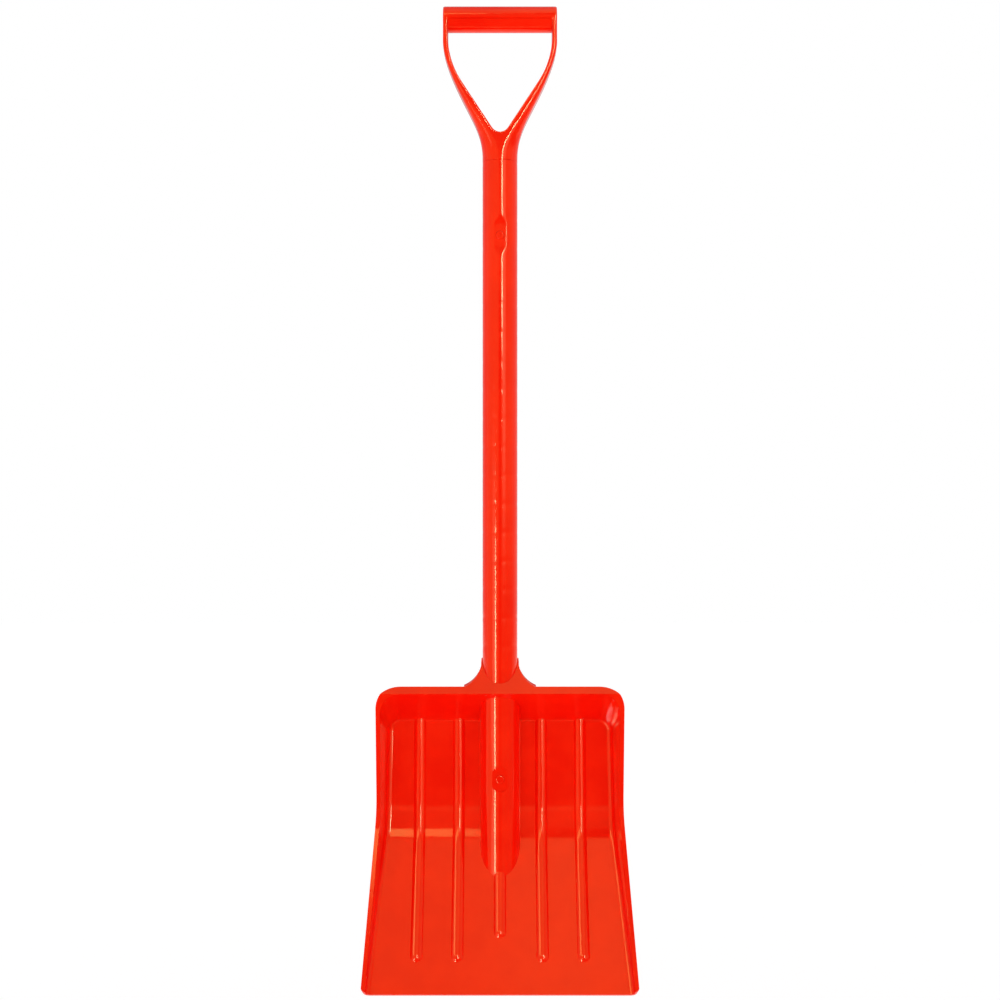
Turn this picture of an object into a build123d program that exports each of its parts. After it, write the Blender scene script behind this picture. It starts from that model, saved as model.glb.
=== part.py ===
"""Avalanche shovel with a moulded scoop blade, a round shaft and a D-grip.

The shovel hangs upright. +X is to the right, the open side of the scoop faces -Y and +Z runs up
along the shaft. The origin is the middle of the hand bar's underside, where a hook carries the
shovel. Lengths are in millimetres. "Forward" is a distance towards -Y, in front of the shaft's axis.
"""

from build123d import *
import os
from math import sqrt

os.makedirs("parts", exist_ok=True)

# ---------------------------------------------------------------- driving dimensions
# shaft
TUBE_R = 17.5
TUBE_WALL = 3.0
LAND_R = 13.0  # bore of the ring lands
LAND_H = 3.0
LAND_PITCH = 28.4
LAND_COUNT = 24
TUBE_TOP_Z = -130.0
TUBE_LENGTH = LAND_PITCH * (LAND_COUNT - 1) + LAND_H
TUBE_FOOT_Z = TUBE_TOP_Z - TUBE_LENGTH
THUMB_FLAT = 16.2  # forward
THUMB_HALF_W = 11.0
THUMB_HALF_H = 14.0
PLUG_HEAD_T = 2.5
PLUG_LENGTH = 28.0
PLUG_PLAY = 0.05
PLUG_WALL = 2.5
PLUG_CROSS_T = 2.0

# hand grip
BAR_R = 13.1  # hand bar, round
BAR_WALL = 3.0
BAR_AXIS_Z = BAR_R  # the bar's underside is at height 0
BAR_SPLIT_Z = BAR_AXIS_Z - 1.5  # joint between the bar's upper half and its shell
GRIP_HALF_W = 57.0
OPENING_HALF_W = 52.1  # between the arms
OPENING_KINK_Z = -29.8  # where the arms' inner faces turn inwards
OPENING_TIP_Z = -109.5  # where their straight legs would meet
OPENING_KINK_R = 85.0
CROTCH_R = 9.2
NECK_Z = -127.4  # lower end of the neck's sweep
GRIP_SEAT_Z = TUBE_TOP_Z  # the grip's shoulder on the end of the tube
ARM_STRAIGHT_Z = -8.0  # the arms' outer faces run straight down to here
GRIP_SECTIONS = (  # height, half width, half depth and corner radius
    (ARM_STRAIGHT_Z, GRIP_HALF_W, BAR_R, 2.0),
    (-20.0, 56.1, 13.1, 2.5),
    (-34.0, 52.3, 13.3, 3.0),
    (-50.0, 46.0, 13.7, 3.8),
    (-68.0, 37.5, 14.5, 5.5),
    (-86.0, 28.4, 15.5, 8.0),
    (-102.0, 21.6, 16.5, 12.0),
    (-115.0, 18.4, 17.2, 16.0),
    (NECK_Z, TUBE_R, TUBE_R, 17.3),
)
SHELL_INSET = 0.3
SHELL_WALL = 3.2
SHELL_GAP = 0.15
TONGUE_T = 1.8
TONGUE_HALF_H = 4.0
TONGUE_SHORT = 3.0
SPIGOT_FOOT_Z = -236.0
SPIGOT_PLAY = 0.1
SPIGOT_BORE_R = 10.0
SPIGOT_BORE_DEPTH = 88.0

# spring buttons
BUTTON_R = 4.2
BUTTON_HOLE_R = 4.3
GRIP_BUTTON_Z = -205.0
BLADE_BUTTON_Z = -746.0
BUTTON_EDGE_R = 1.0
DIMPLE_R = 1.7
DIMPLE_DEPTH = 0.5
FLANGE_T = 1.5
GRIP_FLANGE_R = 5.2
GRIP_FLANGE_FRONT = 8.3  # forward
GRIP_BUTTON_FRONT = 17.1
GRIP_CLIP_REAR = 9.0
BLADE_FLANGE_R = 6.0
BLADE_FLANGE_FRONT = 12.9
BLADE_BUTTON_FRONT = 19.6
BLADE_CLIP_REAR = 12.2
STRIP_T = 0.8
STRIP_W = 8.0
CLIP_REACH = 42.0  # from the button up to the clip's bend
CLIP_TAIL = 7.0

# blade, seen from the side as (forward, height)
PAN_T = 2.8
PAN_TOP = (-22.0, -692.0)  # foot of the back wall
PAN_KNEE = (-11.0, -796.0)  # where the upper and the lower pan would meet
PAN_LIP = (85.7, -941.0)
KNEE_R = 80.0
PAN_CORNER_R = 5.0  # inside, between the pan and the walls
BACK_WALL_GAP = 3.4  # the back wall's thickness, measured upwards
RIM_BACK = (19.8, -653.4)  # upper edge of the top flange
RIM_FRONT = (25.5, -660.3)  # its lower edge
RIM_KNEE = (19.5, -778.0)
RIM_KNEE_R = 70.0
RIM_LIP = (93.0, -942.0)
LIP_HALF_W = 133.1
LIP_CORNER_R = 5.0
SIDE_HALF_W = 115.6  # between the side walls at the shaft's axis, per side
SIDE_DRAFT = 0.148  # outwards per millimetre forward
WALL_CORNER_R = (11.0, 34.0)  # between side and back walls, at the back and the front of the loft
WALL_SPAN = (-30.0, 110.0)  # forward distances that the walls are lofted between
RIM_W = 4.0
RIM_TOP_W = 10.6
RIM_EDGE_R = 0.8
RIM_CORNER_GAP = 5.0
RIM_T = 2.6

# blade, socket and collar
SOCKET_R = 20.0
SOCKET_BORE_R = TUBE_R + 0.1
SOCKET_FLOOR_Z = TUBE_FOOT_Z - 2.8
SOCKET_FLOOR_T = 3.0
SOCKET_END_CHAMFER = 4.0
NOSE_END_Z = -850.0
NOSE_HOLLOW_R = 17.0
COLLAR_TOP_Z = -627.0
COLLAR_TOP_R = 18.6
COLLAR_CONE_H = 18.0
COLLAR_FLARE_R = 29.0
COLLAR_FLARE_X = 47.0
COLLAR_HALF_W = 46.0
WEB_T = 4.0
WEB_HALF_W = 36.0
WEB_FOOT_Z = -676.0
SOCKET_SIDE_DEPTH = 28.0  # flanks that join the socket to the pan
DISH_FLOOR = 18.4  # forward
DISH_HALF_W = 10.0
DISH_HALF_H = 12.5

# blade, ribs
RIB_X = (-81.0, -41.5, 41.5, 81.0)
RIB_R = 7.5
RIB_SUNK = 4.5  # the rib's axis below the pan's face
RIB_BORE_R = 4.9
RIB_BORE_GAP = 10.0
RIB_TOP_Z = -690.0
RIB_END_Z = -912.0
SHORT_RIB_TOP_Z = -838.0
SHORT_RIB_END_Z = -892.0

FAR = 400.0  # further than any part of the blade reaches forward or back
BLOCK_FOOT_Z = -1000.0  # below the lip


# ---------------------------------------------------------------- shared geometry
def side(point):
    """A side-view point (forward, height) in the local coordinates of Plane.YZ."""
    return (-point[0], point[1])


def forward_normal(start, end):
    """The unit normal of a side-view segment that runs downwards."""
    run = end[0] - start[0]
    drop = end[1] - start[1]
    length = sqrt(run**2 + drop**2)
    return (-drop / length, run / length)


def moved(path, distance):
    """A side-view path moved forward, square to itself, by this distance."""
    normals = [forward_normal(a, b) for a, b in zip(path, path[1:])]
    pairs = list(zip(normals[:1] + normals, normals + normals[-1:]))
    result = []
    for point, (above, below) in zip(path, pairs):
        share = distance / (1 + above[0] * below[0] + above[1] * below[1])
        result.append((point[0] + share * (above[0] + below[0]), point[1] + share * (above[1] + below[1])))
    return result


def at_height(start, end, height):
    """The point at this height on the line through two side-view points."""
    share = (height - start[1]) / (end[1] - start[1])
    return (start[0] + share * (end[0] - start[0]), height)


def side_region(path, radii, reach):
    """Everything in front of a side-view path, or behind it for a negative reach."""
    upper = at_height(path[1], path[0], path[0][1] + 60)
    lower = at_height(path[-2], path[-1], path[-1][1] - 60)
    corners = [upper] + path[1:-1] + [lower]
    with BuildPart() as region:
        with BuildSketch(Plane.YZ):
            with BuildLine():
                edge = FilletPolyline([side(point) for point in corners], radius=radii)
                Polyline(edge @ 1, side((reach, lower[1])), side((reach, upper[1])), edge @ 0)
            make_face()
        extrude(amount=FAR, both=True)
    return region.part


def scoop_block(side_gap, top_gap, corner_gap, pan_region, corner_r):
    """The scoop's hollow, or the block it is cut from, down to the pan and with round inner corners."""
    slope = (RIM_FRONT[1] - PAN_TOP[1]) / (RIM_FRONT[0] - PAN_TOP[0])
    with BuildPart() as block:
        for forward, round_r in zip(WALL_SPAN, WALL_CORNER_R):
            half_w = SIDE_HALF_W + SIDE_DRAFT * forward + side_gap
            top_z = PAN_TOP[1] + slope * (forward - PAN_TOP[0]) + top_gap
            with BuildSketch(Plane.XZ.offset(forward)):
                with BuildLine():
                    walls = FilletPolyline(
                        (-half_w, BLOCK_FOOT_Z),
                        (-half_w, top_z),
                        (half_w, top_z),
                        (half_w, BLOCK_FOOT_Z),
                        radius=round_r + corner_gap,
                    )
                    Line(walls @ 1, walls @ 0)
                make_face()
        loft(ruled=True)
        add(pan_region, mode=Mode.INTERSECT)
        fillet(pan_border(block), radius=corner_r)
    return block.part


def pan_border(block):
    """The edges where a block's pan meets its side walls and its back wall."""
    border = []
    for face in block.faces():
        normal = face.normal_at()
        if abs(normal.X) < 0.01 and normal.Y > 0.3 and normal.Z < 0:
            for edge in face.edges():
                middle = edge @ 0.5
                if abs(middle.X) > 50 or middle.Z > PAN_TOP[1] - 20:
                    border.append(edge)
    return border


def forward_cylinder(radius, height, start, end):
    """A round bar along the forward direction, at this height on the middle plane."""
    with BuildPart() as bar:
        with BuildSketch(Plane.XZ.offset(start)):
            with Locations((0, height)):
                Circle(radius)
        extrude(amount=end - start)
    return bar.part


# ---------------------------------------------------------------- blade
PAN = [PAN_TOP, PAN_KNEE, PAN_LIP]
RIM = [RIM_BACK, RIM_FRONT, RIM_KNEE, RIM_LIP]
PAN_REAR = moved(PAN, -PAN_T)
RIM_REAR = moved(RIM, -RIM_T)

before_pan = side_region(PAN, [KNEE_R], FAR)
before_pan_rear = side_region(PAN_REAR, [KNEE_R + PAN_T], FAR)
behind_rim = side_region(RIM, [RIM_EDGE_R, RIM_KNEE_R], -FAR)
before_rim_rear = side_region(RIM_REAR, [RIM_EDGE_R, RIM_KNEE_R + RIM_T], FAR)

hollow = scoop_block(0, 0, 0, before_pan, PAN_CORNER_R)
shell = scoop_block(PAN_T, BACK_WALL_GAP, PAN_T, before_pan_rear, PAN_CORNER_R + PAN_T)
flange = scoop_block(RIM_W, RIM_TOP_W, RIM_CORNER_GAP, before_pan_rear, PAN_CORNER_R + PAN_T)

# everything above the lip's end face, which is square to the lower pan
lip_normal = forward_normal(PAN_KNEE, PAN_LIP)
lip_rear = (PAN_LIP[0] - 60 * lip_normal[0], PAN_LIP[1] - 60 * lip_normal[1])
lip_front = (PAN_LIP[0] + 60 * lip_normal[0], PAN_LIP[1] + 60 * lip_normal[1])
with BuildPart() as above_lip:
    with BuildSketch(Plane.YZ):
        Polygon(
            side(lip_rear),
            side(lip_front),
            side((lip_front[0], FAR)),
            side((-FAR, FAR)),
            side((-FAR, lip_rear[1])),
            align=None,
        )
    extrude(amount=LIP_HALF_W, both=True)
    lip_face = above_lip.faces().sort_by(Axis.Z)[1]
    fillet([edge for edge in lip_face.edges() if abs((edge % 0.5).X) < 0.5], radius=LIP_CORNER_R)


def collar_front(half_w, foot_z):
    """The collar's shoulder as seen from the front, with a concave flare on each side."""
    with BuildSketch(Plane.XZ) as front:
        with Locations((0, COLLAR_TOP_Z)):
            Rectangle(2 * half_w, COLLAR_TOP_Z - foot_z, align=(Align.CENTER, Align.MAX))
        with Locations((-COLLAR_FLARE_X, COLLAR_TOP_Z), (COLLAR_FLARE_X, COLLAR_TOP_Z)):
            Circle(COLLAR_FLARE_R, mode=Mode.SUBTRACT)
    return front.sketch


with BuildPart() as collar_plate:
    extrude(collar_front(COLLAR_HALF_W, RIM_FRONT[1] + 1), amount=FAR, both=True)
    add(behind_rim, mode=Mode.INTERSECT)
    add(before_rim_rear, mode=Mode.INTERSECT)

with BuildPart() as collar_webs:
    extrude(collar_front(WEB_HALF_W, WEB_FOOT_Z), amount=WEB_T / 2, both=True)
    add(behind_rim, mode=Mode.INTERSECT)

# the socket's outside: a straight tube with a thin cone on top, and its nose in front of the pan
SOCKET_END_Z = SOCKET_FLOOR_Z - SOCKET_FLOOR_T
cone_z = COLLAR_TOP_Z - COLLAR_CONE_H
with BuildPart() as socket:
    with BuildSketch(Plane.XZ):
        Polygon(
            (0, SOCKET_END_Z),
            (SOCKET_R - SOCKET_END_CHAMFER, SOCKET_END_Z),
            (SOCKET_R, SOCKET_END_Z + SOCKET_END_CHAMFER),
            (SOCKET_R, cone_z),
            (COLLAR_TOP_R, COLLAR_TOP_Z),
            (0, COLLAR_TOP_Z),
            align=None,
        )
    revolve(axis=Axis.Z)
    add(behind_rim, mode=Mode.INTERSECT)

with BuildPart() as nose:
    with BuildSketch(Plane.XY.offset(NOSE_END_Z)):
        Circle(SOCKET_R)
    extrude(amount=cone_z - 60 - NOSE_END_Z)
    add(before_pan_rear, mode=Mode.INTERSECT)

with BuildPart() as socket_flanks:
    with BuildSketch(Plane.XY.offset(SOCKET_END_Z)):
        Rectangle(2 * SOCKET_R, SOCKET_SIDE_DEPTH, align=(Align.CENTER, Align.MIN))
    extrude(amount=PAN_TOP[1] - SOCKET_END_Z)
    add(before_pan_rear, mode=Mode.INTERSECT)


def pan_bar(across, radius, top_z, end_z, round_top):
    """A round bar that follows the pan at a rib's axis, with a round lower end."""
    top, knee, lip = [side(point) for point in moved(PAN, -RIB_SUNK)]
    side_plane = Plane.YZ.offset(across)
    last = at_height(knee, lip, end_z)
    with BuildPart() as bar:
        with BuildLine(side_plane) as path:
            if top_z > knee[1]:
                first = at_height(top, knee, top_z)
                FilletPolyline(first, knee, last, radius=KNEE_R + RIB_SUNK)
            else:
                first = at_height(knee, lip, top_z)
                Line(first, last)
        with BuildSketch(path.wire() ^ 0):
            Circle(radius)
        sweep(path=path.wire())
        end = side_plane.from_local_coords((*last, 0))
        with Locations(Plane(end, z_dir=end - side_plane.from_local_coords((*knee, 0)))):
            Sphere(radius, arc_size1=0, align=(Align.CENTER, Align.CENTER, Align.MIN))
        if round_top:
            with Locations(side_plane.from_local_coords((*first, 0))):
                Sphere(radius)
    return bar.part


def rib_bead(across, top_z, end_z):
    """The part of a rib that stands proud of the pan's face."""
    with BuildPart() as bead:
        add(pan_bar(across, RIB_R, top_z, end_z, False))
        add(before_pan, mode=Mode.INTERSECT)
    return bead.part


with BuildPart() as flange_band:
    add(flange)
    add(behind_rim, mode=Mode.INTERSECT)
    add(before_rim_rear, mode=Mode.INTERSECT)

ribs = [(across, RIB_TOP_Z, RIB_END_Z) for across in RIB_X] + [(0, SHORT_RIB_TOP_Z, SHORT_RIB_END_Z)]

with BuildPart() as blade:
    add(shell)
    add(behind_rim, mode=Mode.INTERSECT)
    add(flange_band.part)
    add(hollow, mode=Mode.SUBTRACT)
    for across, top_z, end_z in ribs:
        add(rib_bead(across, top_z, end_z))
    add(collar_plate.part)
    add(collar_webs.part)
    add(socket_flanks.part)
    add(socket.part)
    add(nose.part)
    for across, top_z, end_z in ribs:
        add(pan_bar(across, RIB_BORE_R, top_z - RIB_BORE_GAP, end_z, True), mode=Mode.SUBTRACT)
    with BuildSketch(Plane.XY.offset(SOCKET_FLOOR_Z)):
        Circle(SOCKET_BORE_R)
    extrude(amount=FAR, mode=Mode.SUBTRACT)
    with BuildSketch(Plane.XY.offset(SOCKET_END_Z)):
        Circle(NOSE_HOLLOW_R)
    extrude(amount=NOSE_END_Z - SOCKET_END_Z, mode=Mode.SUBTRACT)
    add(forward_cylinder(BUTTON_HOLE_R, BLADE_BUTTON_Z, 0, SOCKET_R + 5), mode=Mode.SUBTRACT)
    with BuildSketch(Plane.XZ.offset(DISH_FLOOR)):
        with Locations((0, BLADE_BUTTON_Z)):
            Ellipse(DISH_HALF_W, DISH_HALF_H)
    extrude(amount=5, mode=Mode.SUBTRACT)
    add(above_lip.part, mode=Mode.INTERSECT)
blade.part.label = "blade"
export_step(blade.part, "parts/blade.step")

# ---------------------------------------------------------------- shaft tube
with BuildPart() as shaft_tube:
    with BuildSketch(Plane.XY.offset(TUBE_FOOT_Z)):
        Circle(TUBE_R)
        Circle(LAND_R, mode=Mode.SUBTRACT)
    extrude(amount=TUBE_LENGTH)
    for pocket in range(LAND_COUNT - 1):
        with BuildSketch(Plane.XY.offset(TUBE_FOOT_Z + LAND_H + pocket * LAND_PITCH)):
            Circle(TUBE_R - TUBE_WALL)
        extrude(amount=LAND_PITCH - LAND_H, mode=Mode.SUBTRACT)
    with BuildSketch(Plane.XZ.offset(THUMB_FLAT)):
        with Locations((0, GRIP_BUTTON_Z)):
            Ellipse(THUMB_HALF_W, THUMB_HALF_H)
    extrude(amount=5, mode=Mode.SUBTRACT)
    for height in (GRIP_BUTTON_Z, BLADE_BUTTON_Z):
        add(forward_cylinder(BUTTON_HOLE_R, height, 0, TUBE_R + 5), mode=Mode.SUBTRACT)
shaft_tube.part.label = "shaft_tube"
export_step(shaft_tube.part, "parts/shaft_tube.step")

# ---------------------------------------------------------------- foot plug
with BuildPart() as shaft_foot_plug:
    with BuildSketch(Plane.XY.offset(TUBE_FOOT_Z - PLUG_HEAD_T)):
        Circle(TUBE_R - 0.1)
    extrude(amount=PLUG_HEAD_T)
    with BuildSketch(Plane.XY.offset(TUBE_FOOT_Z)):
        Circle(LAND_R - PLUG_PLAY)
    extrude(amount=PLUG_LENGTH)
    with BuildSketch(Plane.XY.offset(TUBE_FOOT_Z)):
        Circle(LAND_R - PLUG_PLAY - PLUG_WALL)
        Rectangle(PLUG_CROSS_T, 2 * LAND_R, mode=Mode.SUBTRACT)
        Rectangle(2 * LAND_R, PLUG_CROSS_T, mode=Mode.SUBTRACT)
    extrude(amount=PLUG_LENGTH, mode=Mode.SUBTRACT)
shaft_foot_plug.part.label = "shaft_foot_plug"
export_step(shaft_foot_plug.part, "parts/shaft_foot_plug.step")


# ---------------------------------------------------------------- spring buttons
def spring_button(height, flange_r, flange_front, head_front):
    """A domed button with a dimple in its face and a flange that stops it from inside."""
    with BuildPart() as button:
        with BuildSketch(Plane.XZ.offset(flange_front - FLANGE_T)):
            with Locations((0, height)):
                Circle(flange_r)
        extrude(amount=FLANGE_T)
        with BuildSketch(Plane.XZ.offset(flange_front)):
            with Locations((0, height)):
                Circle(BUTTON_R)
        extrude(amount=head_front - flange_front)
        rim_edge = button.faces().sort_by(Axis.Y)[0].edges()
        fillet(rim_edge, radius=BUTTON_EDGE_R)
        add(forward_cylinder(DIMPLE_R, height, head_front - DIMPLE_DEPTH, head_front + 1), mode=Mode.SUBTRACT)
    return button.part


def leaf_clip(height, button_rear, wall_rear):
    """A strip of spring steel bent double: one leg backs the button, the other the far wall."""
    front_y = -button_rear + STRIP_T / 2
    rear_y = wall_rear - STRIP_T / 2
    bend_r = (rear_y - front_y) / 2
    bend_z = height + CLIP_REACH - bend_r
    foot_z = height - CLIP_TAIL
    with BuildPart() as clip:
        with BuildSketch(Plane.YZ):
            with BuildLine() as strip:
                legs = [((front_y, foot_z), (front_y, bend_z)), ((rear_y, bend_z), (rear_y, foot_z))]
                Line(*legs[0])
                ThreePointArc(legs[0][1], ((front_y + rear_y) / 2, bend_z + bend_r), legs[1][0])
                Line(*legs[1])
            trace(strip.line, line_width=STRIP_T)
        extrude(amount=STRIP_W / 2, both=True)
    return clip.part


grip_button = spring_button(GRIP_BUTTON_Z, GRIP_FLANGE_R, GRIP_FLANGE_FRONT, GRIP_BUTTON_FRONT)
grip_button.label = "grip_button"
export_step(grip_button, "parts/grip_button.step")

grip_button_spring = leaf_clip(GRIP_BUTTON_Z, GRIP_FLANGE_FRONT - FLANGE_T, GRIP_CLIP_REAR)
grip_button_spring.label = "grip_button_spring"
export_step(grip_button_spring, "parts/grip_button_spring.step")

blade_button = spring_button(BLADE_BUTTON_Z, BLADE_FLANGE_R, BLADE_FLANGE_FRONT, BLADE_BUTTON_FRONT)
blade_button.label = "blade_button"
export_step(blade_button, "parts/blade_button.step")

blade_button_spring = leaf_clip(BLADE_BUTTON_Z, BLADE_FLANGE_FRONT - FLANGE_T, BLADE_CLIP_REAR)
blade_button_spring.label = "blade_button_spring"
export_step(blade_button_spring, "parts/blade_button_spring.step")


# ---------------------------------------------------------------- hand grip
with BuildPart() as grip_frame:
    for height, half_w, half_d, corner in GRIP_SECTIONS:
        with BuildSketch(Plane.XY.offset(height)):
            RectangleRounded(2 * half_w, 2 * half_d, corner)
    loft()
    with BuildSketch(Plane.XY.offset(ARM_STRAIGHT_Z)):
        RectangleRounded(2 * GRIP_HALF_W, 2 * BAR_R, GRIP_SECTIONS[0][-1])
    extrude(amount=BAR_AXIS_Z - ARM_STRAIGHT_Z)
    # the bar's round upper half, and its hollow
    with BuildSketch(Plane.YZ):
        with Locations((0, BAR_AXIS_Z)):
            Circle(BAR_R)
    extrude(amount=GRIP_HALF_W, both=True)
    # the hand opening, up to the joint with the bar's shell
    with BuildSketch(Plane.XZ):
        with BuildLine():
            half = FilletPolyline(
                (0, BAR_SPLIT_Z),
                (OPENING_HALF_W, BAR_SPLIT_Z),
                (OPENING_HALF_W, OPENING_KINK_Z),
                (0, OPENING_TIP_Z),
                radius=[0, OPENING_KINK_R],
            )
            mirror(about=Plane.YZ)
        opening = make_face()
        tip = opening.vertices().sort_by(Axis.Y)[0]
        fillet(tip, radius=CROTCH_R)
    extrude(amount=FAR, both=True, mode=Mode.SUBTRACT)
    with BuildSketch(Plane.YZ):
        with Locations((0, BAR_AXIS_Z)):
            Circle(BAR_R - BAR_WALL)
    extrude(amount=OPENING_HALF_W, both=True, mode=Mode.SUBTRACT)
    # the shoulder and the spigot
    with BuildSketch(Plane.XY.offset(GRIP_SEAT_Z)):
        Circle(TUBE_R)
    extrude(amount=NECK_Z - GRIP_SEAT_Z)
    with BuildSketch(Plane.XY.offset(SPIGOT_FOOT_Z)):
        Circle(LAND_R - SPIGOT_PLAY)
    extrude(amount=GRIP_SEAT_Z - SPIGOT_FOOT_Z)
    with BuildSketch(Plane.XY.offset(SPIGOT_FOOT_Z)):
        Circle(SPIGOT_BORE_R)
    extrude(amount=SPIGOT_BORE_DEPTH, mode=Mode.SUBTRACT)
    add(forward_cylinder(BUTTON_HOLE_R, GRIP_BUTTON_Z, 0, TUBE_R), mode=Mode.SUBTRACT)
grip_frame.part.label = "grip_frame"
export_step(grip_frame.part, "parts/grip_frame.step")

with BuildPart() as grip_bar_shell:
    with BuildSketch(Plane.YZ):
        with Locations((0, BAR_AXIS_Z)):
            Circle(BAR_R - SHELL_INSET)
            Circle(BAR_R - SHELL_INSET - SHELL_WALL, mode=Mode.SUBTRACT)
        with Locations((0, BAR_SPLIT_Z - SHELL_GAP)):
            Rectangle(FAR, FAR, align=(Align.CENTER, Align.MIN), mode=Mode.SUBTRACT)
    extrude(amount=OPENING_HALF_W - SHELL_GAP, both=True)
    # the tongue that snaps inside the bar's upper half
    with BuildSketch(Plane.YZ):
        with Locations((0, BAR_AXIS_Z)):
            Circle(BAR_R - BAR_WALL - SHELL_GAP)
            Circle(BAR_R - BAR_WALL - SHELL_GAP - TONGUE_T, mode=Mode.SUBTRACT)
        with Locations((0, BAR_SPLIT_Z)):
            Rectangle(2 * BAR_R, 2 * TONGUE_HALF_H, mode=Mode.INTERSECT)
    extrude(amount=OPENING_HALF_W - TONGUE_SHORT, both=True)
grip_bar_shell.part.label = "grip_bar_shell"
export_step(grip_bar_shell.part, "parts/grip_bar_shell.step")

for piece in (
    blade.part,
    shaft_tube.part,
    shaft_foot_plug.part,
    grip_button,
    grip_button_spring,
    blade_button,
    blade_button_spring,
    grip_frame.part,
    grip_bar_shell.part,
):
    print(piece.label, len(piece.solids()), round(piece.volume), piece.is_valid)
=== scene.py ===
"""The avalanche shovel's looks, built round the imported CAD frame.

Lengths are in metres in the frame's own axes: +X right, the scoop opens towards -Y, +Z up along the shaft.
"""

from math import cos, exp, pi, radians, sin

import bmesh
import bpy
from mathutils import Matrix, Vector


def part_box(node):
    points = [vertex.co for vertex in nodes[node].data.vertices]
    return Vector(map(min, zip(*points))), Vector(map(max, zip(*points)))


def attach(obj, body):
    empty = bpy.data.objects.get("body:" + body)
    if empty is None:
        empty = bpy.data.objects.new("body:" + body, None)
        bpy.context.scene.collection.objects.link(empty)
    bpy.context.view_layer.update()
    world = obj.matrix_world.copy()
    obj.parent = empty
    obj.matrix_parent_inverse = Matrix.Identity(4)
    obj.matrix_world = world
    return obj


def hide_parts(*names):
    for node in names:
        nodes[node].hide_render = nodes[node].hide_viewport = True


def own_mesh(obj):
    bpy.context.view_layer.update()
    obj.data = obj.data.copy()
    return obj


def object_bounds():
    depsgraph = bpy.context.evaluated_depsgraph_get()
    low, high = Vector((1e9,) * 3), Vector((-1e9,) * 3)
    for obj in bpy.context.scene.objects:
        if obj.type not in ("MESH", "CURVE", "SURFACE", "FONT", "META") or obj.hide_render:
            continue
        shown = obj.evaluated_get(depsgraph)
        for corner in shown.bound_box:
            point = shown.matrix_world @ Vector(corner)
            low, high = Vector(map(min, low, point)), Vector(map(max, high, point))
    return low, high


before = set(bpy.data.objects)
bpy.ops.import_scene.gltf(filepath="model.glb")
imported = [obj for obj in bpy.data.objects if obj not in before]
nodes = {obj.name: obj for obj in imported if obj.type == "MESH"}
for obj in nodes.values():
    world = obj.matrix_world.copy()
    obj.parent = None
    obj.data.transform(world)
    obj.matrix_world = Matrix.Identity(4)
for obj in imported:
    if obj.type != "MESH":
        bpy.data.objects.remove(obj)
cad_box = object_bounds()

# ---------------------------------------------------------------- camera, floor and light
CAMERA_DISTANCE = 1.8
CAMERA_LENS = 64.6
CAMERA_Z = -0.4684
FLOOR_DROP = 0.26  # below the lip, because the shovel hangs
FLOOR_HALF_WIDTH = 6
FLOOR_FRONT = -0.3  # nearer, it would show as a pale band in the hand bar
FLOOR_BACK = 9
FLOOR_GLOW = 0.25
RADIAN = 57.29578  # in degrees

# what shiny faces reflect: azimuth and elevation ranges in degrees (azimuth 0 is behind the camera and
# grows to the right), softness of the edges, brightness
SOFT_PANELS = (
    ((-180, -100), (-90, 90), 20, 0.45),
    ((100, 180), (-90, 90), 20, 0.6),
    ((-100, -10), (-90, 46), 10, 0.75),
    ((10, 100), (-2, 46), 6, 0.65),
    ((10, 100), (-90, -2), 6, 0.15),
    ((-10, 10), (9, 36), 5, 0.25),
    ((-9, 9), (6.5, 10), 2, 0.45),
    ((-100, 0), (49, 90), 4, 0.85),
    ((0, 100), (49, 90), 4, 1.15),
    ((-70, -0.7), (36, 47), 1.0, 4.0),
)
STRIPS = (
    ((11, 17), (5, 40), 1.5, 26.0),
    ((17, 36), (0, 40), 6, 1.5),
    ((-33, -26), (-40, -1.5), 1.5, 20.0),
    ((-50, -33), (-40, 0), 6, 1.4),
)
STRIP_TINT = (1.0, 1.1, 2.4)  # cool enough to come back white from the warm plastic
DIM_REFLECTION = 0.12
FILL_LEVEL = 1.08  # of the even light at the horizon
FILL_FALL = 0.36  # less from above, more from below


def add_camera():
    data = bpy.data.cameras.new("camera")
    data.lens = CAMERA_LENS
    camera = bpy.data.objects.new("camera", data)
    camera.location = (0, -CAMERA_DISTANCE, CAMERA_Z)
    camera.rotation_euler = (radians(90), 0, 0)
    bpy.context.scene.collection.objects.link(camera)
    bpy.context.scene.camera = camera


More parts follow.
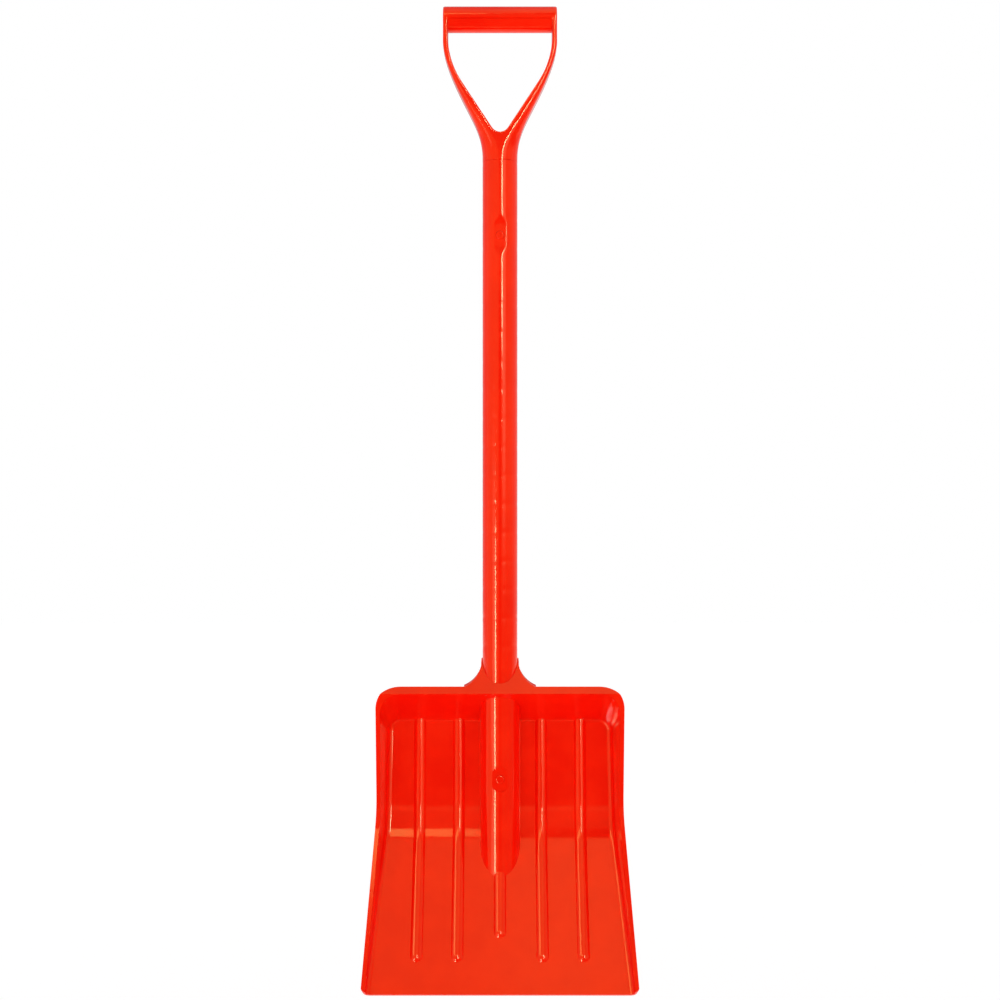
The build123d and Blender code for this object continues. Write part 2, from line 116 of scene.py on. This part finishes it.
def world_light():
    """White to the camera, soft and even for shading, and a studio's bright panels for reflections."""
    world = bpy.data.worlds.new("studio")
    bpy.context.scene.world = world
    world.use_nodes = True
    tree = world.node_tree
    tree.nodes.clear()
    output = tree.nodes.new("ShaderNodeOutputWorld")

    def background(colour, strength):
        node = tree.nodes.new("ShaderNodeBackground")
        node.inputs["Strength"].default_value = strength
        if isinstance(colour, tuple):
            node.inputs["Color"].default_value = colour
        else:
            tree.links.new(colour, node.inputs["Color"])
        return node.outputs[0]

    def math(operation, a, b=None, clamp=False):
        node = tree.nodes.new("ShaderNodeMath")
        node.operation = operation
        node.use_clamp = clamp
        for socket, value in zip(node.inputs, (a, b)):
            if value is None:
                continue
            if isinstance(value, (int, float)):
                socket.default_value = value
            else:
                tree.links.new(value, socket)
        return node.outputs[0]

    def band(value, low_edge, high_edge, soft):
        """1 between two edges of a value, with soft flanks."""
        rise = math("DIVIDE", math("SUBTRACT", value, low_edge - soft / 2), soft, clamp=True)
        fall = math("DIVIDE", math("SUBTRACT", high_edge + soft / 2, value), soft, clamp=True)
        return math("MULTIPLY", rise, fall)

    place = tree.nodes.new("ShaderNodeTexCoord")
    split = tree.nodes.new("ShaderNodeSeparateXYZ")
    tree.links.new(place.outputs["Generated"], split.inputs[0])
    across, along, up = split.outputs
    azimuth = math("MULTIPLY", math("ARCTAN2", across, math("MULTIPLY", along, -1.0)), RADIAN)
    elevation = math("MULTIPLY", math("ARCSINE", up), RADIAN)

    def total(panels, start):
        result = start
        for (az_low, az_high), (el_low, el_high), soft, brightness in panels:
            across_it = band(azimuth, az_low, az_high, soft)
            up_it = band(elevation, el_low, el_high, soft)
            panel = math("MULTIPLY", math("MULTIPLY", across_it, up_it), brightness)
            result = math("ADD", panel, result)
        return result

    soft_light = total(SOFT_PANELS, DIM_REFLECTION)
    strips = total(STRIPS, 0.0)
    studio = tree.nodes.new("ShaderNodeCombineColor")
    for socket, tint in zip(studio.inputs, STRIP_TINT):
        tree.links.new(math("ADD", soft_light, math("MULTIPLY", strips, tint)), socket)

    rays = tree.nodes.new("ShaderNodeLightPath")

    def choose(factor, no, yes):
        node = tree.nodes.new("ShaderNodeMixShader")
        tree.links.new(factor, node.inputs[0])
        tree.links.new(no, node.inputs[1])
        tree.links.new(yes, node.inputs[2])
        return node.outputs[0]

    level = math("SUBTRACT", FILL_LEVEL, math("MULTIPLY", up, FILL_FALL))
    fill = tree.nodes.new("ShaderNodeCombineColor")
    for socket in fill.inputs[:3]:
        tree.links.new(level, socket)
    even = background(fill.outputs[0], 1.0)
    shiny = choose(rays.outputs["Is Glossy Ray"], even, background(studio.outputs[0], 1.0))
    shown = choose(rays.outputs["Is Camera Ray"], shiny, background((1, 1, 1, 1), 1.0))
    tree.links.new(shown, output.inputs["Surface"])
    bpy.context.scene.view_settings.view_transform = "Standard"


def add_floor():
    mesh = bpy.data.meshes.new("floor")
    z = cad_box[0].z - FLOOR_DROP
    left, right = -FLOOR_HALF_WIDTH, FLOOR_HALF_WIDTH
    corners = [(left, FLOOR_FRONT, z), (right, FLOOR_FRONT, z), (right, FLOOR_BACK, z), (left, FLOOR_BACK, z)]
    mesh.from_pydata(corners, [], [(0, 1, 2, 3)])
    floor = bpy.data.objects.new("floor", mesh)
    bpy.context.scene.collection.objects.link(floor)
    material = bpy.data.materials.new("floor")
    material.use_nodes = True
    shader = material.node_tree.nodes["Principled BSDF"]
    shader.inputs["Base Color"].default_value = (0.9, 0.9, 0.9, 1)
    shader.inputs["Roughness"].default_value = 0.9
    shader.inputs["Specular IOR Level"].default_value = 0.0
    shader.inputs["Emission Color"].default_value = (1, 1, 1, 1)
    shader.inputs["Emission Strength"].default_value = FLOOR_GLOW
    mesh.materials.append(material)


# ---------------------------------------------------------------- materials
class Nodes:
    """A material's node tree, with short calls for the nodes used here."""

    def __init__(self, name):
        self.material = bpy.data.materials.new(name)
        self.material.use_nodes = True
        self.tree = self.material.node_tree
        self.shader = self.tree.nodes["Principled BSDF"]

    def put(self, socket, value):
        if isinstance(value, bpy.types.NodeSocket):
            self.tree.links.new(value, socket)
        else:
            socket.default_value = value

    def math(self, operation, a, b=0.0, clamp=False):
        node = self.tree.nodes.new("ShaderNodeMath")
        node.operation = operation
        node.use_clamp = clamp
        self.put(node.inputs[0], a)
        self.put(node.inputs[1], b)
        return node.outputs[0]

    def position(self):
        return self.tree.nodes.new("ShaderNodeTexCoord").outputs["Object"]

    def stretched(self, vector, scale):
        node = self.tree.nodes.new("ShaderNodeMapping")
        self.put(node.inputs["Vector"], vector)
        node.inputs["Scale"].default_value = scale
        return node.outputs[0]

    def noise(self, vector, scale, detail=2.0):
        node = self.tree.nodes.new("ShaderNodeTexNoise")
        self.put(node.inputs["Vector"], vector)
        node.inputs["Scale"].default_value = scale
        node.inputs["Detail"].default_value = detail
        return node.outputs["Fac"]

    def ramp(self, value, low_value, high_value, low_out, high_out):
        node = self.tree.nodes.new("ShaderNodeMapRange")
        self.put(node.inputs["Value"], value)
        node.inputs["From Min"].default_value = low_value
        node.inputs["From Max"].default_value = high_value
        node.inputs["To Min"].default_value = low_out
        node.inputs["To Max"].default_value = high_out
        return node.outputs["Result"]

    def blend(self, factor, first, second):
        node = self.tree.nodes.new("ShaderNodeMix")
        node.data_type = "RGBA"
        self.put(node.inputs["Factor"], factor)
        self.put(node.inputs["A"], first)
        self.put(node.inputs["B"], second)
        return node.outputs["Result"]

    def bump(self, height, distance):
        node = self.tree.nodes.new("ShaderNodeBump")
        node.inputs["Distance"].default_value = distance
        self.put(node.inputs["Height"], height)
        return node.outputs["Normal"]


RED = (0.93, 0.0075, 0.0006, 1)
RED_DEEP = (0.88, 0.0045, 0.0004, 1)
WARM_GLOSS = (1.0, 0.85, 0.22, 1)


def moulded_plastic(name):
    """Glossy red-orange plastic with a faint flow mottle and hairline scuffs."""
    n = Nodes(name)
    place = n.position()
    mottle = n.noise(place, 35.0, 3.0)
    n.put(n.shader.inputs["Base Color"], n.blend(n.ramp(mottle, 0.35, 0.65, 0.0, 1.0), RED_DEEP, RED))
    hairlines = n.noise(n.stretched(place, (90.0, 90.0, 900.0)), 1.0, 2.0)
    scuff = n.ramp(hairlines, 0.66, 0.78, 0.0, 0.10)
    rough = n.math("ADD", n.ramp(mottle, 0.3, 0.7, 0.07, 0.11), scuff)
    n.put(n.shader.inputs["Roughness"], rough)
    waves = n.noise(place, 60.0, 1.0)
    n.put(n.shader.inputs["Normal"], n.bump(waves, 0.00005))
    n.shader.inputs["Specular Tint"].default_value = WARM_GLOSS
    n.shader.inputs["IOR"].default_value = 1.46
    return n.material


def spring_steel():
    """Rolled strip: grey steel with fine lengthwise grain."""
    n = Nodes("spring_steel")
    grain = n.noise(n.stretched(n.position(), (4000.0, 4000.0, 60.0)), 1.0, 3.0)
    n.put(n.shader.inputs["Base Color"], n.blend(grain, (0.42, 0.42, 0.43, 1), (0.62, 0.62, 0.63, 1)))
    n.put(n.shader.inputs["Roughness"], n.ramp(grain, 0.3, 0.7, 0.22, 0.38))
    n.put(n.shader.inputs["Normal"], n.bump(grain, 0.00001))
    n.shader.inputs["Metallic"].default_value = 1.0
    return n.material


# ---------------------------------------------------------------- pieces
LAND_PITCH = 0.0284  # of the ring lands inside the tube, which leave faint sink rings outside
LAND_HALF_H = 0.0015  # half a land's height, so the first ring is this far above the tube's foot
RING_DEPTH = 0.0001
RING_SPREAD = 0.0022
TUBE_WALL = 0.003
ROWS_PER_PITCH = 16
TUBE_SIDES = 96
HOLE_R = 0.0043
HOLE_DEPTH = 0.012  # of each cutter, centred on the tube's skin
HOLE_SIDES = 48
TUBE_SHARP_ANGLE = 40
CLIP_SHARP_ANGLE = 30
GRIP_VOXEL = 0.0009
GRIP_SMOOTHING = 12
THUMB_FLAT = 0.0162
THUMB_HALF = (0.011, 0.0145)  # the flattened patch round the upper button, across and up
THUMB_REACH = 1.6  # where the flat has faded out, in the patch's squared distance
THUMB_FADE = 0.9


NECK_R = 0.0175
NECK_INSIDE_R = 0.0165  # nearer the axis than this is the spigot, not the neck's skin
NECK_BAND = (-0.1302, -0.1262)  # the heights whose skin is set back on the tube's radius


def new_object(name, mesh):
    piece = bpy.data.objects.new(name, mesh)
    bpy.context.scene.collection.objects.link(piece)
    return piece


def apply_modifiers(piece):
    """Turns the piece's modifiers into its mesh."""
    graph = bpy.context.evaluated_depsgraph_get()
    mesh = bpy.data.meshes.new_from_object(piece.evaluated_get(graph))
    piece.modifiers.clear()
    piece.data = mesh


def shade(piece, material, sharp_angle=None):
    piece.data.materials.clear()
    piece.data.materials.append(material)
    piece.data.shade_smooth()
    if sharp_angle is not None:
        piece.data.set_sharp_from_angle(angle=radians(sharp_angle))


def button_axis(node):
    """The height of a button, which presses in along +Y."""
    a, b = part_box(node)
    return (a.z + b.z) / 2


def tube_radius(angle, z, radius, land_z, thumb_z):
    """The tube's outside: sink rings at the lands and a soft flat for the thumb. Angle 0 faces forward."""
    away = (z - land_z + LAND_PITCH / 2) % LAND_PITCH - LAND_PITCH / 2
    result = radius - RING_DEPTH * exp(-((away / RING_SPREAD) ** 2))
    across = radius * sin(angle)
    up = z - thumb_z
    patch = (across / THUMB_HALF[0]) ** 2 + (up / THUMB_HALF[1]) ** 2
    if cos(angle) > 0 and patch < THUMB_REACH:
        flat = min(result, THUMB_FLAT / cos(angle))
        share = min(1.0, max(0.0, (THUMB_REACH - patch) / THUMB_FADE))
        share = share * share * (3 - 2 * share)
        result += (flat - result) * share
    return result


def shaft():
    """The tube as a dense surface, with its two button holes."""
    a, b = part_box("shaft_tube")
    radius = b.x
    land_z = a.z + LAND_HALF_H
    thumb_z = button_axis("grip_button")
    step = LAND_PITCH / ROWS_PER_PITCH
    rows = round((b.z - a.z) / step)
    mesh = bmesh.new()
    outer, inner = [], []
    for row in range(rows + 1):
        z = a.z + (b.z - a.z) * row / rows
        angles = [2 * pi * i / TUBE_SIDES for i in range(TUBE_SIDES)]
        ring = []
        for angle in angles:
            r = tube_radius(angle, z, radius, land_z, thumb_z)
            ring.append(mesh.verts.new((r * sin(angle), -r * cos(angle), z)))
        outer.append(ring)
        if row in (0, rows):
            r = radius - TUBE_WALL
            inner.append([mesh.verts.new((r * sin(t), -r * cos(t), z)) for t in angles])
    ends_and_bore = [(outer[-1], inner[-1]), (inner[-1], inner[0]), (inner[0], outer[0])]
    walls = list(zip(outer, outer[1:])) + ends_and_bore
    for below, above in walls:
        for i in range(TUBE_SIDES):
            j = (i + 1) % TUBE_SIDES
            mesh.faces.new((below[i], below[j], above[j], above[i]))
    bmesh.ops.recalc_face_normals(mesh, faces=mesh.faces)
    data = bpy.data.meshes.new("shaft")
    mesh.to_mesh(data)
    mesh.free()
    piece = new_object("shaft", data)
    for node in ("grip_button", "blade_button"):
        cut_hole(piece, (0, -radius, button_axis(node)))
    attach(piece, "shovel")
    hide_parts("shaft_tube")
    shade(piece, moulded_plastic("shaft_plastic"), TUBE_SHARP_ANGLE)


def cut_hole(piece, centre):
    """Cuts a round button hole along Y."""
    mesh = bmesh.new()
    turn = Matrix.Translation(centre) @ Matrix.Rotation(radians(90), 4, "X")
    bmesh.ops.create_cone(
        mesh,
        cap_ends=True,
        segments=HOLE_SIDES,
        radius1=HOLE_R,
        radius2=HOLE_R,
        depth=HOLE_DEPTH,
        matrix=turn,
    )
    data = bpy.data.meshes.new("cutter")
    mesh.to_mesh(data)
    mesh.free()
    cutter = new_object("cutter", data)
    cut = piece.modifiers.new("hole", "BOOLEAN")
    cut.object = cutter
    cut.operation = "DIFFERENCE"
    cut.solver = "EXACT"
    apply_modifiers(piece)
    bpy.data.objects.remove(cutter)


def softened(node, name, voxel, rounds):
    """A copy of a CAD node with its edges rounded the way a mould rounds them."""
    piece = new_object(name, nodes[node].data.copy())
    remesh = piece.modifiers.new("remesh", "REMESH")
    remesh.mode = "VOXEL"
    remesh.voxel_size = voxel
    smooth = piece.modifiers.new("smooth", "SMOOTH")
    smooth.iterations = rounds
    smooth.factor = 0.5
    apply_modifiers(piece)
    for vertex in piece.data.vertices:
        x, y, z = vertex.co
        if NECK_BAND[0] < z < NECK_BAND[1] and x * x + y * y > NECK_INSIDE_R ** 2:
            share = NECK_R / (x * x + y * y) ** 0.5
            vertex.co = (x * share, y * share, z)
    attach(piece, "shovel")
    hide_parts(node)
    return piece


def leaf_clip(node, joint, material):
    """A button's spring strip, which on the real shovel flattens against its rear end as the button goes in;
    here it stays a rigid copy with its own mesh.
    """
    piece = new_object(joint + "_clip", nodes[node].data.copy())
    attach(piece, "shovel")
    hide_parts(node)
    shade(piece, material, CLIP_SHARP_ANGLE)
    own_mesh(piece)


add_camera()
world_light()
add_floor()
red = moulded_plastic("moulded_plastic")
steel = spring_steel()
for name, node in nodes.items():
    node.data.materials.clear()
    node.data.materials.append(steel if name.endswith("_spring") else red)
shaft()
leaf_clip("grip_button_spring", "grip_button_press", steel)
leaf_clip("blade_button_spring", "blade_button_press", steel)
shade(softened("grip_frame", "grip", GRIP_VOXEL, GRIP_SMOOTHING), red)
